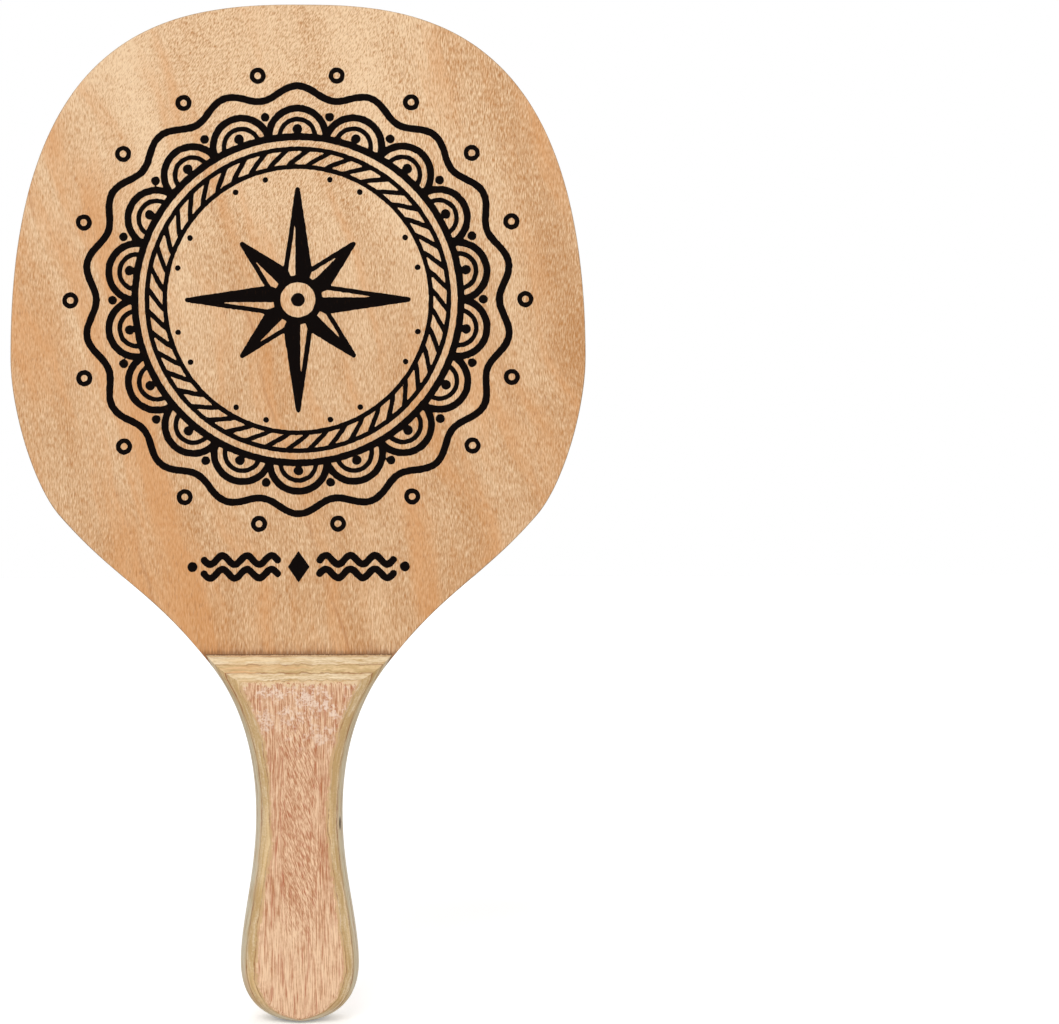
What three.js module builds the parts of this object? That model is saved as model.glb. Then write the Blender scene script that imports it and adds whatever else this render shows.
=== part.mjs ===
import * as THREE from 'three';

// A wooden beach racket, in millimetres, standing upright with its blade up.
// X runs across the blade, Y through its thickness with the printed face towards -Y,
// and Z up along its length. The origin is at the centre of the grip.

// Overall sizes, with heights measured from the butt
const LENGTH = 386;
const WIDTH = 218.8;
const HANDLE_LENGTH = 139;
const WAIST_WIDTH = 32.9;
const BUTT_WIDTH = 44.9;

// Plies of the blade, from a face inwards
const BLADE_VENEER = 0.9;
const BLADE_CROSSBAND = 1.7;
const BLADE_CORE = 1.8;

// Plies of a grip scale, from the blade outwards
const BASE_VENEER = 0.8;
const INNER_CROSSBAND = 2.6;
const GRIP_CORE = 2.6;
const OUTER_CROSSBAND = 2.4;
const FACE_VENEER = 0.8;

// Sanded edges
const BLADE_EASE = 0.5;
const BLADE_EASE_RUN = 8;
const CORNER_EASE = 1.2;
const CORNER_EASE_RUN = 6;
const END_BEVEL_DEGREES = 41;
// Where the outline runs level, at the butt, the grips are rounded over by this share of what their sides are
const LEVEL_ROUND_SHARE = 0.3;

// Where the outline is steered, as shares of the handle's length and of the blade's size
const BULB_HEIGHT_SHARE = 0.159;
const WAIST_HEIGHT_SHARE = 0.566;
const THROAT_WIDTH_SHARE = 0.336;
const SHOULDER_WIDTH_SHARE = 0.828;
const SHOULDER_HEIGHT_SHARE = 0.465;
const WIDEST_HEIGHT_SHARE = 0.652;

// Slope of the outline from the vertical
const THROAT_DEGREES = 39.4;
const SHOULDER_DEGREES = 41.3;

// Length of each curve's two handles, as shares of the distance between its ends
const BUTT_SHARES = [0.38, 0.5];
const BULB_SHARES = [0.27, 0.41];
const NECK_SHARES = [0.6, 0.1];
const THROAT_SHARES = [0.43, 0.41];
const FLANK_SHARES = [0.25, 0.3];
// The crown's handles are shares of its own height and half width instead
const CROWN_RISE_SHARE = 0.97;
const CROWN_SPREAD_SHARE = 0.4;

// Fineness
const BLADE_STATIONS = 84;
const GRIP_STATIONS = 36;
const CUT_STEPS = 40;

const BLADE_THICKNESS = 2 * (BLADE_VENEER + BLADE_CROSSBAND) + BLADE_CORE;
const SCALE_THICKNESS = BASE_VENEER + INNER_CROSSBAND + GRIP_CORE + OUTER_CROSSBAND + FACE_VENEER;
const GRIP_CENTRE = HANDLE_LENGTH / 2;
const BEVEL_SLOPE = Math.tan(THREE.MathUtils.degToRad(END_BEVEL_DEGREES));

const at = (x, z) => new THREE.Vector2(x, z);
const leaning = (degrees) => {
  const angle = THREE.MathUtils.degToRad(degrees);
  return at(Math.sin(angle), Math.cos(angle));
};

function span(from, fromWay, to, toWay, shares) {
  const reach = from.distanceTo(to);
  const first = from.clone().addScaledVector(fromWay, reach * shares[0]);
  const second = to.clone().addScaledVector(toWay, -reach * shares[1]);
  return new THREE.CubicBezierCurve(from, first, second, to);
}

// The right half of the outline, from the butt's middle to the blade's tip
function halfOutline() {
  const up = at(0, 1);
  const out = at(1, 0);
  const widestHeight = LENGTH * WIDEST_HEIGHT_SHARE;
  const bladeRise = widestHeight - HANDLE_LENGTH;
  const butt = at(0, 0);
  const bulb = at(BUTT_WIDTH / 2, HANDLE_LENGTH * BULB_HEIGHT_SHARE);
  const waist = at(WAIST_WIDTH / 2, HANDLE_LENGTH * WAIST_HEIGHT_SHARE);
  const throat = at((WIDTH / 2) * THROAT_WIDTH_SHARE, HANDLE_LENGTH);
  const shoulder = at((WIDTH / 2) * SHOULDER_WIDTH_SHARE, HANDLE_LENGTH + bladeRise * SHOULDER_HEIGHT_SHARE);
  const widest = at(WIDTH / 2, widestHeight);
  const tip = at(0, LENGTH);
  const rise = up.clone().multiplyScalar((LENGTH - widestHeight) * CROWN_RISE_SHARE);
  const spread = out.clone().multiplyScalar((WIDTH / 2) * CROWN_SPREAD_SHARE);

  const path = new THREE.CurvePath();
  path.add(span(butt, out, bulb, up, BUTT_SHARES));
  path.add(span(bulb, up, waist, up, BULB_SHARES));
  path.add(span(waist, up, throat, leaning(THROAT_DEGREES), NECK_SHARES));
  path.add(span(throat, leaning(THROAT_DEGREES), shoulder, leaning(SHOULDER_DEGREES), THROAT_SHARES));
  path.add(span(shoulder, leaning(SHOULDER_DEGREES), widest, up, FLANK_SHARES));
  path.add(new THREE.CubicBezierCurve(widest, widest.clone().add(rise), tip.clone().add(spread), tip));
  return path;
}

const outline = halfOutline();

// The outline's point at a share of its length, moved inwards. Both ends stay on the centre line.
function insetPoint(share, inset) {
  const point = outline.getPoint(share);
  const onAxis = share === 0 || share === 1;
  const along = onAxis ? at(share === 0 ? 1 : -1, 0) : outline.getTangent(share);
  return at(point.x - along.y * inset, point.y + along.x * inset);
}

const fade = (distance, run) => Math.max(0, 1 - Math.max(0, distance) / run);

// A grip's edge at one level: how far the round-over has moved in there, and where the bevel cuts it off
function gripEdge(level) {
  const lean = Math.asin(Math.min(1, level / SCALE_THICKNESS));
  const roundover = SCALE_THICKNESS * (1 - Math.cos(lean));
  const top = HANDLE_LENGTH - level / BEVEL_SLOPE;
  const rounded = (share) => {
    const upright = Math.abs(outline.getTangent(share).y);
    return insetPoint(share, roundover * THREE.MathUtils.lerp(LEVEL_ROUND_SHARE, 1, upright));
  };
  const pointAt = (share) => {
    const edge = rounded(share);
    const corner = CORNER_EASE * fade(top - edge.y, CORNER_EASE_RUN) ** 2;
    return at(edge.x - corner, edge.y);
  };
  let low = 0;
  let high = 1 / 2;
  for (let step = 0; step < CUT_STEPS; step += 1) {
    const middle = (low + high) / 2;
    if (rounded(middle).y < top) low = middle;
    else high = middle;
  }
  const edge = [];
  for (let i = 0; i <= GRIP_STATIONS; i += 1) {
    const eased = (1 - Math.cos((Math.PI * i) / GRIP_STATIONS)) / 2;
    edge.push(pointAt(high * eased));
  }
  return edge;
}

// The blade's edge, eased above the handle and left full where the grips are glued on
function bladeEdge(ease) {
  const edge = [];
  for (let i = 0; i <= BLADE_STATIONS; i += 1) {
    const share = i / BLADE_STATIONS;
    const above = outline.getPoint(share).y - HANDLE_LENGTH;
    const inset = above > 0 ? ease * (1 - fade(above, BLADE_EASE_RUN)) : 0;
    edge.push(insetPoint(share, inset));
  }
  return edge;
}

// One closed body between layers. Each layer is a right-hand edge at a depth along Y, mirrored to the left.
function loft(layers) {
  const positions = [];
  const faces = [];
  const rings = layers.map(({ edge, y }) => {
    const put = (x, z) => positions.push(x, y, z - GRIP_CENTRE) / 3 - 1;
    const right = edge.map((point) => put(point.x, point.y));
    const left = edge.map((point, i) => (point.x === 0 ? right[i] : put(-point.x, point.y)));
    return { right, left };
  });

  const quad = (a, b, c, d) => {
    if (a !== b && b !== c && a !== c) faces.push(a, b, c);
    if (a !== c && c !== d && a !== d) faces.push(a, c, d);
  };
  const count = layers[0].edge.length;
  const cap = ({ right, left }, facing) => {
    for (let i = 1; i < count; i += 1) {
      if (facing) quad(left[i - 1], right[i - 1], right[i], left[i]);
      else quad(left[i - 1], left[i], right[i], right[i - 1]);
    }
  };
  cap(rings[0], true);
  cap(rings[rings.length - 1], false);

  rings.slice(1).forEach((far, ringIndex) => {
    const near = rings[ringIndex];
    for (let i = 1; i < count; i += 1) {
      quad(near.right[i - 1], far.right[i - 1], far.right[i], near.right[i]);
      quad(near.left[i], far.left[i], far.left[i - 1], near.left[i - 1]);
    }
    const top = count - 1;
    if (near.right[top] !== near.left[top]) {
      quad(near.right[top], far.right[top], far.left[top], near.left[top]);
    }
  });

  const geometry = new THREE.BufferGeometry();
  geometry.setAttribute('position', new THREE.Float32BufferAttribute(positions, 3));
  geometry.setIndex(faces);
  geometry.computeVertexNormals();
  return geometry;
}

// Levels of a grip ply, evenly spaced around the round-over
function gripLevels(bottom, top, steps) {
  const angleAt = (level) => Math.asin(Math.min(1, level / SCALE_THICKNESS));
  const from = angleAt(bottom);
  const to = angleAt(top);
  const levels = [bottom];
  for (let i = 1; i < steps; i += 1) {
    levels.push(SCALE_THICKNESS * Math.sin(from + ((to - from) * i) / steps));
  }
  levels.push(top);
  return levels;
}

const wood = (name, colour, roughness) => {
  const material = new THREE.MeshStandardMaterial({ color: colour, roughness, metalness: 0 });
  material.name = name;
  return material;
};

const BLADE_FACE_WOOD = wood('blade_face_wood', 0xdcb283, 0.55);
const GRIP_FACE_WOOD = wood('grip_face_wood', 0xd9a87f, 0.65);
const PALE_PLY = wood('pale_ply', 0xe6c99c, 0.7);
const TAN_PLY = wood('tan_ply', 0xc9a370, 0.7);

const racket = new THREE.Group();
racket.name = 'beach_racket';

function addPly(name, layers, material) {
  const ply = new THREE.Mesh(loft(layers), material);
  ply.name = name;
  racket.add(ply);
}

// Layers are handed to loft from -Y to +Y, so the back grip's run outwards and the front grip's inwards
const fullEdge = bladeEdge(0);
const easedEdge = bladeEdge(BLADE_EASE);
const veneerInside = BLADE_THICKNESS / 2 - BLADE_VENEER;
const easeStart = BLADE_THICKNESS / 2 - Math.min(BLADE_EASE, BLADE_VENEER / 2);
addPly('blade_front_veneer', [
  { edge: easedEdge, y: -BLADE_THICKNESS / 2 },
  { edge: fullEdge, y: -easeStart },
  { edge: fullEdge, y: -veneerInside },
], BLADE_FACE_WOOD);
addPly('blade_front_crossband', [
  { edge: fullEdge, y: -veneerInside },
  { edge: fullEdge, y: -BLADE_CORE / 2 },
], PALE_PLY);
addPly('blade_core', [
  { edge: fullEdge, y: -BLADE_CORE / 2 },
  { edge: fullEdge, y: BLADE_CORE / 2 },
], TAN_PLY);
addPly('blade_back_crossband', [
  { edge: fullEdge, y: BLADE_CORE / 2 },
  { edge: fullEdge, y: veneerInside },
], PALE_PLY);
addPly('blade_back_veneer', [
  { edge: fullEdge, y: veneerInside },
  { edge: fullEdge, y: easeStart },
  { edge: easedEdge, y: BLADE_THICKNESS / 2 },
], BLADE_FACE_WOOD);

const GRIP_PLIES = [
  { name: 'grip_base_veneer', thickness: BASE_VENEER, steps: 1, material: TAN_PLY },
  { name: 'grip_inner_crossband', thickness: INNER_CROSSBAND, steps: 1, material: PALE_PLY },
  { name: 'grip_core', thickness: GRIP_CORE, steps: 2, material: TAN_PLY },
  { name: 'grip_outer_crossband', thickness: OUTER_CROSSBAND, steps: 3, material: PALE_PLY },
  { name: 'grip_face_veneer', thickness: FACE_VENEER, steps: 3, material: GRIP_FACE_WOOD },
];

let below = 0;
for (const { name, thickness, steps, material } of GRIP_PLIES) {
  const outer = name === 'grip_face_veneer' ? SCALE_THICKNESS : below + thickness;
  const levels = gripLevels(below, outer, steps);
  const layersOn = (side) => levels.map((level) => ({
    edge: gripEdge(level),
    y: side * (BLADE_THICKNESS / 2 + level),
  }));
  addPly(`front_${name}`, layersOn(-1).reverse(), material);
  addPly(`back_${name}`, layersOn(1), material);
  below = outer;
}

export default racket;
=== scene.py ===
import math
from typing import NamedTuple

import bmesh
import bpy
import numpy as np
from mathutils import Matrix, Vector
from mathutils.geometry import delaunay_2d_cdt


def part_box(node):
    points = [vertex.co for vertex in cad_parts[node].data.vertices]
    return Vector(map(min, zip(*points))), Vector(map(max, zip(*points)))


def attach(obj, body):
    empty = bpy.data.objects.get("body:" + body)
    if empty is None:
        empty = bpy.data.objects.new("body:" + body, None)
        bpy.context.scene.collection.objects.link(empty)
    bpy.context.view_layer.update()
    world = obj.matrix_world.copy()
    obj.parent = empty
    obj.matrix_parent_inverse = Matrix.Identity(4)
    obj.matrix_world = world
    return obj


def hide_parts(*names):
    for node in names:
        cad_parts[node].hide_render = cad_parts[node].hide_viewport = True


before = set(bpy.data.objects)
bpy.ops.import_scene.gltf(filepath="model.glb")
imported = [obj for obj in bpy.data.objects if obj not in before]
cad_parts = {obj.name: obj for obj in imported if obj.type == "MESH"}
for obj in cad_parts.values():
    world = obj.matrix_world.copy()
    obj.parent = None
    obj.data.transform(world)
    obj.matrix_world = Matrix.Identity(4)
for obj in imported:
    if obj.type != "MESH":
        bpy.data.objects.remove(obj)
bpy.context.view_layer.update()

MM = 0.001
FRONT, BACK = -1, 1
# The right and the left side, as each shifts a seed
SIDES = (0, 1)

# Sizes read from the frame
BLADE_LOW, BLADE_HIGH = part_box("blade_core")
BUTT_Z = BLADE_LOW.z
LENGTH = BLADE_HIGH.z - BLADE_LOW.z
HALF_WIDTH = BLADE_HIGH.x
CORE_Y = BLADE_HIGH.y
CROSSBAND_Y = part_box("blade_back_crossband")[1].y
BLADE_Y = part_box("blade_back_veneer")[1].y
LEDGE_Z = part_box("back_grip_base_veneer")[1].z
HANDLE = LEDGE_Z - BUTT_Z
GRIP_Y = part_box("back_grip_face_veneer")[1].y
SCALE = GRIP_Y - BLADE_Y

# The outline's own sizes, as in the solids
WAIST_HALF_WIDTH = 16.45 * MM
BUTT_HALF_WIDTH = 22.45 * MM
BULB_HEIGHT_SHARE = 0.159
WAIST_HEIGHT_SHARE = 0.566
THROAT_WIDTH_SHARE = 0.336
SHOULDER_WIDTH_SHARE = 0.828
SHOULDER_HEIGHT_SHARE = 0.465
WIDEST_HEIGHT_SHARE = 0.652
THROAT_ANGLE = math.radians(39.4)
SHOULDER_ANGLE = math.radians(41.3)
BUTT_SHARES = (0.38, 0.5)
BULB_SHARES = (0.27, 0.41)
NECK_SHARES = (0.6, 0.1)
THROAT_SHARES = (0.43, 0.41)
FLANK_SHARES = (0.25, 0.3)
CROWN_RISE_SHARE = 0.97
CROWN_SPREAD_SHARE = 0.4
CROWN_Z = BUTT_Z + LENGTH * WIDEST_HEIGHT_SHARE
TOP_WIDTH = 2 * HALF_WIDTH * THROAT_WIDTH_SHARE

# Sanded edges
BLADE_EASE = 0.5 * MM
BLADE_EASE_RUN = 8 * MM
EASE_WEAR_SHARE = 0.3
EASE_WEAR_WAVE = 14 * MM
CORNER_EASE = 1.2 * MM
CORNER_EASE_RUN = 6 * MM
BEVEL_ANGLE = math.radians(41)
BEVEL_FILLET = 1.6 * MM
FILLET_START = BEVEL_FILLET * (1 - math.cos(BEVEL_ANGLE))
FACE_TOP_Z = LEDGE_Z - SCALE / math.tan(BEVEL_ANGLE)
# At the butt, where the outline runs level, the grips are rounded over by this share of what their sides are
LEVEL_ROUND_SHARE = 0.3
# Edges that bend by more than this are shaded sharp
SHARP = math.radians(28)

# How far the ply seams wander, how long their shortest waves are, and the powers of their fade at the ends
CORE_SEAM_SWING = 0.1 * MM
CROSSBAND_SEAM_SWING = 0.07 * MM
BLADE_SEAM_WAVE = 9 * MM
BLADE_SEAM_FADE = 0.25
# The grips' seams from the blade outwards. The first and the last one are flat.
GRIP_SEAM_SWINGS = (0, 0.06 * MM, 0.24 * MM, 0.24 * MM, 0.3 * MM, 0)
GRIP_SEAM_WAVE = 7 * MM
GRIP_SEAM_FADE = 8
# Across the sloped end they swing further, in shorter waves
TOP_SWING_SHARE = 2
TOP_SEAM_WAVE = 2 * MM

# The blade's seams from front to back: the face that each is nearer to, its level, its swing and its seed
BLADE_SEAMS = (
    (FRONT, CROSSBAND_Y, CROSSBAND_SEAM_SWING, 29),
    (FRONT, CORE_Y, CORE_SEAM_SWING, 11),
    (BACK, CORE_Y, CORE_SEAM_SWING, 15),
    (BACK, CROSSBAND_Y, CROSSBAND_SEAM_SWING, 33),
)
# Seeds of the other wandering lines
EASE_SEED = 21
GRIP_SEED = 100
SEAM_SEED_STEP, FACE_SEED_STEP, TOP_SEED_STEP = 50, 5, 30

# Fineness
SPAN_POINTS = 400
BLADE_STATIONS = 420
GRIP_STATIONS = 150
TOP_STATIONS = 60
CUT_STATIONS = 200
ARC_STEPS = 5


# The outline

def point(x, z):
    return np.array((x, z), float)


def heading(angle):
    """The direction that leans out from straight up by an angle."""
    return point(math.sin(angle), math.cos(angle))


def bezier(a, b, c, d):
    t = np.linspace(0, 1, SPAN_POINTS)[:, None]
    return (1 - t) ** 3 * a + 3 * (1 - t) ** 2 * t * b + 3 * (1 - t) * t ** 2 * c + t ** 3 * d


def span(start, start_way, end, end_way, shares):
    """A curve between two points and the ways it runs there. Its handles are shares of the distance."""
    reach = np.linalg.norm(end - start)
    return bezier(start, start + start_way * reach * shares[0], end - end_way * reach * shares[1], end)


def half_outline():
    """The right half, from the butt's middle to the blade's tip, as x and height above the butt."""
    up, out = point(0, 1), point(1, 0)
    widest_z = LENGTH * WIDEST_HEIGHT_SHARE
    shoulder_z = HANDLE + (widest_z - HANDLE) * SHOULDER_HEIGHT_SHARE
    butt, tip = point(0, 0), point(0, LENGTH)
    bulb = point(BUTT_HALF_WIDTH, HANDLE * BULB_HEIGHT_SHARE)
    waist = point(WAIST_HALF_WIDTH, HANDLE * WAIST_HEIGHT_SHARE)
    throat = point(HALF_WIDTH * THROAT_WIDTH_SHARE, HANDLE)
    shoulder = point(HALF_WIDTH * SHOULDER_WIDTH_SHARE, shoulder_z)
    widest = point(HALF_WIDTH, widest_z)
    crown_rise = up * (LENGTH - widest_z) * CROWN_RISE_SHARE
    crown_spread = out * HALF_WIDTH * CROWN_SPREAD_SHARE
    spans = (
        span(butt, out, bulb, up, BUTT_SHARES),
        span(bulb, up, waist, up, BULB_SHARES),
        span(waist, up, throat, heading(THROAT_ANGLE), NECK_SHARES),
        span(throat, heading(THROAT_ANGLE), shoulder, heading(SHOULDER_ANGLE), THROAT_SHARES),
        span(shoulder, heading(SHOULDER_ANGLE), widest, up, FLANK_SHARES),
        bezier(widest, widest + crown_rise, tip + crown_spread, tip),
    )
    return np.concatenate([part[:-1] for part in spans] + [tip[None]])


OUTLINE = half_outline()
STEPS = np.linalg.norm(np.diff(OUTLINE, axis=0), axis=1)
HALF_LENGTH = STEPS.sum()
SHARES = np.concatenate(([0.0], np.cumsum(STEPS))) / HALF_LENGTH
TANGENT = np.gradient(OUTLINE, axis=0)
TANGENT /= np.linalg.norm(TANGENT, axis=1)[:, None]
TANGENT[0], TANGENT[-1] = (1, 0), (-1, 0)
INWARD = np.stack((-TANGENT[:, 1], TANGENT[:, 0]), axis=1)


def inset(shares, distance):
    """Points at shares of the half outline's length, moved inwards: x and height above the butt."""
    return np.stack([
        np.interp(shares, SHARES, OUTLINE[:, axis]) + np.interp(shares, SHARES, INWARD[:, axis]) * distance
        for axis in (0, 1)
    ], axis=1)


def place(points, depth, mirror=1):
    """Frame positions of outline points at a depth along Y."""
    x = points[:, 0] * mirror
    y = np.broadcast_to(depth, x.shape)
    return np.stack((x, y, points[:, 1] + BUTT_Z), axis=1)


# The waves that make up a wandering line, as shares of its shortest one
WAVE_SHARES = np.array((1.0, 1.7, 2.9, 5.3))


def waves(seed, swing, shortest, reach, shares):
    """A smooth wandering line, at shares of a path as long as reach."""
    lengths = shortest * WAVE_SHARES
    phases = np.random.default_rng(seed).uniform(0, 2 * math.pi, len(lengths))
    weights = np.sqrt(lengths / lengths.max())
    total = 0
    for length, phase, weight in zip(lengths, phases, weights):
        total = total + weight * np.sin(2 * math.pi * shares * reach / length + phase)
    return swing * total / weights.sum()


# Pieces

def new_piece(name, vertices, faces, material, nodes=(), levels=None):
    """A mesh that rides on the racket's one body, and stands for nodes where they are given."""
    mesh = bpy.data.meshes.new(name)
    mesh.from_pydata([tuple(v) for v in vertices], [], [tuple(f) for f in faces])
    if levels is not None:
        attribute = mesh.attributes.new("level", "FLOAT", "POINT")
        attribute.data.foreach_set("value", np.asarray(levels, np.float32))
    shaped = bmesh.new()
    shaped.from_mesh(mesh)
    bmesh.ops.recalc_face_normals(shaped, faces=shaped.faces)
    shaped.to_mesh(mesh)
    shaped.free()
    mesh.shade_smooth()
    mesh.set_sharp_from_angle(angle=SHARP)
    mesh.materials.append(material)
    piece = bpy.data.objects.new(name, mesh)
    bpy.context.scene.collection.objects.link(piece)
    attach(piece, "root")
    if nodes:
        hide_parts(*nodes)


def close(vertices, faces, right, left, end):
    """Fills a ring with strips from side to side. It may add points, which carry the ring's top."""
    # The strips run straight across up to the last stations that lie below all of the wandering top
    lowest = min(vertices[i][2] for i in end)
    heights = [max(vertices[a][2], vertices[b][2]) for a, b in zip(right[:-1], left)]
    last = max(i for i, height in enumerate(heights) if height < lowest)
    faces.append((right[0], right[1], left[1]))
    for i in range(2, last):
        faces.append((left[i - 1], right[i - 1], right[i], left[i]))
    row = [right[last]]
    for share in np.linspace(0, 1, len(end))[1:-1]:
        row.append(len(vertices))
        vertices.append(vertices[right[last]] * (1 - share) + vertices[left[last]] * share)
    row.append(left[last])
    faces.append([left[last - 1], right[last - 1]] + row)
    for i in range(1, len(end) - 2):
        faces.append((row[i], end[i], end[i + 1], row[i + 1]))
    faces.append([row[1]] + right[last:] + [end[1]])
    faces.append([row[-2]] + left[last:] + [end[-2]])


def loft(node, rings, top, material, slot, levels):
    """Joins rings into a closed piece. A ring runs up the right side, across the top and down the left."""
    count = len(rings[0])
    side = (count - top) // 2
    vertices = list(np.concatenate(rings))
    point_levels = list(np.repeat(levels, count))
    faces = []
    for ring in range(len(rings) - 1):
        near, far = ring * count, (ring + 1) * count
        for i in range(count):
            j = (i + 1) % count
            faces.append((near + i, near + j, far + j, far + i))
    for ring in (0, len(rings) - 1):
        base = ring * count
        right = [base + i for i in range(side + 1)]
        left = [base] + [base + count - i for i in range(1, side + 1)]
        end = [right[-1]] + [base + i for i in range(side + 1, count - side)] + [left[-1]]
        close(vertices, faces, right, left, end)
        point_levels += [levels[ring]] * (len(vertices) - len(point_levels))
    new_piece(f"{node}_dressed", vertices, faces, material, (node,), point_levels)


# The blade's plies

BLADE_SHARES = np.linspace(0, 1, BLADE_STATIONS + 1)
ABOVE_LEDGE = np.interp(BLADE_SHARES, SHARES, OUTLINE[:, 1]) - HANDLE
EASE_SHARES = np.clip(ABOVE_LEDGE / BLADE_EASE_RUN, 0, 1)
FLUSH = (0, 0)


def blade_ring(moved_in, depths):
    """A ring up the right edge and down the left one. Its arguments are pairs, for right and left."""
    right = place(inset(BLADE_SHARES, moved_in[0]), depths[0])
    left = place(inset(BLADE_SHARES, moved_in[1]), depths[1], -1)
    return np.concatenate((right, left[-2:0:-1]))


def blade_seam(face, level, swing, seed):
    """Depths of a seam on the right and left edge. It doesn't wander at the two ends, where they meet."""
    ends = np.sin(math.pi * BLADE_SHARES) ** BLADE_SEAM_FADE
    return [
        face * (level + waves(seed + side, swing, BLADE_SEAM_WAVE, HALF_LENGTH, BLADE_SHARES) * ends)
        for side in SIDES
    ]


def blade_veneer(node, face, seam, material):
    """A face ply, from its seam to its edge, which is eased above the handle."""
    eases = []
    for side in SIDES:
        wear = waves(EASE_SEED + side + face, 1, EASE_WEAR_WAVE, HALF_LENGTH, BLADE_SHARES)
        eases.append(BLADE_EASE * EASE_SHARES * (1 + EASE_WEAR_SHARE * wear))
    rings, levels = [blade_ring(FLUSH, seam)], [0]
    for step in range(ARC_STEPS + 1):
        turn = math.pi / 2 * step / ARC_STEPS
        moved_in = [ease * (1 - math.cos(turn)) for ease in eases]
        depths = [face * (BLADE_Y - ease * (1 - math.sin(turn))) for ease in eases]
        rings.append(blade_ring(moved_in, depths))
        levels.append(step / ARC_STEPS)
    loft(node, rings, 1, material, "blade_face_wood", levels)


def blade_ply(node, start, end, material, slot):
    """A ply between two seams."""
    middle = [(a + b) / 2 for a, b in zip(start, end)]
    rings = [blade_ring(FLUSH, depths) for depths in (start, middle, end)]
    loft(node, rings, 1, material, slot, (0, 0.5, 1))


# The grips' plies

# Stations up each side, closer together at both ends, and across the top from right to left
EASED = (1 - np.cos(math.pi * np.linspace(0, 1, GRIP_STATIONS + 1))) / 2
ACROSS = np.linspace(1, -1, TOP_STATIONS + 1)[1:-1]
RIGHT_SHARES, LEFT_SHARES = (1 + ACROSS) / 2, (1 - ACROSS) / 2
ROUND_SHARES = LEVEL_ROUND_SHARE + (1 - LEVEL_ROUND_SHARE) * abs(INWARD[:, 0])


def round_over(level):
    """How far a level lies in from the outline where that runs upright."""
    return SCALE - np.sqrt(np.maximum(SCALE ** 2 - np.minimum(level, SCALE) ** 2, 0))


def bevel_height(level):
    """Height of the sloped end at a level, rounded where it runs into the flat face."""
    left = np.clip(SCALE - level, 0, None)
    sloped = HANDLE - level / math.tan(BEVEL_ANGLE)
    tangent = HANDLE - SCALE / math.tan(BEVEL_ANGLE) - BEVEL_FILLET * math.tan(BEVEL_ANGLE / 2)
    rounded = tangent + np.sqrt(np.maximum(2 * BEVEL_FILLET * left - left ** 2, 0))
    return np.where(left < FILLET_START, rounded, sloped)


def cut_share(level):
    """Where along the half outline a level meets the sloped end."""
    lower = SHARES < 0.5
    heights = OUTLINE[lower, 1] + INWARD[lower, 1] * ROUND_SHARES[lower] * round_over(level)
    return np.interp(bevel_height(level), heights, SHARES[lower])


CUT_LEVELS = SCALE * np.sin(np.linspace(0, math.pi / 2, CUT_STATIONS))
CUT_SHARES = np.array([cut_share(level) for level in CUT_LEVELS])


def grip_ring(levels, face):
    """One ring of a grip. levels holds the level at each right, top and left station."""
    right, top, left = levels
    sides = []
    for side_levels in (right, left):
        shares = np.interp(side_levels, CUT_LEVELS, CUT_SHARES) * EASED
        points = inset(shares, round_over(side_levels) * np.interp(shares, SHARES, ROUND_SHARES))
        under = np.maximum(bevel_height(side_levels) - points[:, 1], 0)
        corner = CORNER_EASE * np.clip(1 - under / CORNER_EASE_RUN, 0, 1) ** 2
        points[:, 0] -= np.minimum(corner, points[:, 0])
        sides.append(points)
    reach = RIGHT_SHARES * sides[0][-1, 0] - LEFT_SHARES * sides[1][-1, 0]
    across = np.stack((reach, bevel_height(top)), axis=1)
    return np.concatenate((
        place(sides[0], face * (BLADE_Y + right)),
        place(across, face * (BLADE_Y + top)),
        place(sides[1], face * (BLADE_Y + left), -1)[:0:-1],
    ))


# From the blade outwards, with how many steps each takes round the curve of the sides
GRIP_PLIES = (
    ("grip_base_veneer", 2),
    ("grip_inner_crossband", 4),
    ("grip_core", 6),
    ("grip_outer_crossband", 9),
    ("grip_face_veneer", 12),
)


def grip_seams(face):
    """The level of each seam at every right, top and left station."""
    tops = [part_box("back_" + name)[1].y - BLADE_Y for name, _ in GRIP_PLIES]
    seams = []
    for index, level in enumerate([0.0] + tops):
        swing = GRIP_SEAM_SWINGS[index]
        seed = GRIP_SEED + SEAM_SEED_STEP * index + FACE_SEED_STEP * face
        right, left = (waves(seed + side, swing, GRIP_SEAM_WAVE, HANDLE, EASED) for side in SIDES)
        top = waves(seed + TOP_SEED_STEP, TOP_SWING_SHARE * swing, TOP_SEAM_WAVE, TOP_WIDTH, RIGHT_SHARES)
        across = right[-1] * RIGHT_SHARES + left[-1] * LEFT_SHARES + np.sin(math.pi * RIGHT_SHARES) * top
        # Both sides start alike, in the middle of the butt
        left = left + (right[0] - left[0]) * (1 - EASED) ** GRIP_SEAM_FADE
        seams.append([np.clip(level + wander, 0, SCALE) for wander in (right, across, left)])
    return seams


def grip(face, prefix, finishes):
    """All plies of one scale. finishes has a material and a slot for each; the slots are not used."""
    turns = [[np.arcsin(np.clip(part / SCALE, 0, 1)) for part in seam] for seam in grip_seams(face)]
    for (name, steps), finish, low, high in zip(GRIP_PLIES, finishes, turns, turns[1:]):
        levels = [step / steps for step in range(steps + 1)]
        rings = [
            grip_ring([SCALE * np.sin(a + (b - a) * level) for a, b in zip(low, high)], face)
            for level in levels
        ]
        loft(f"{prefix}_{name}", rings, TOP_STATIONS - 1, *finish, levels)


# Materials

class Noise(NamedTuple):
    """A pattern's waves to a metre, its finer layers, how strong those are, and its pace along each axis."""
    scale: float
    detail: float = 2.0
    roughness: float = 0.5
    pace: tuple = None


class Grain(NamedTuple):
    """How drawn out a grain is, how far it bends, and its slope."""
    stretch: float
    wander: float
    slope: float = 0.0


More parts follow.
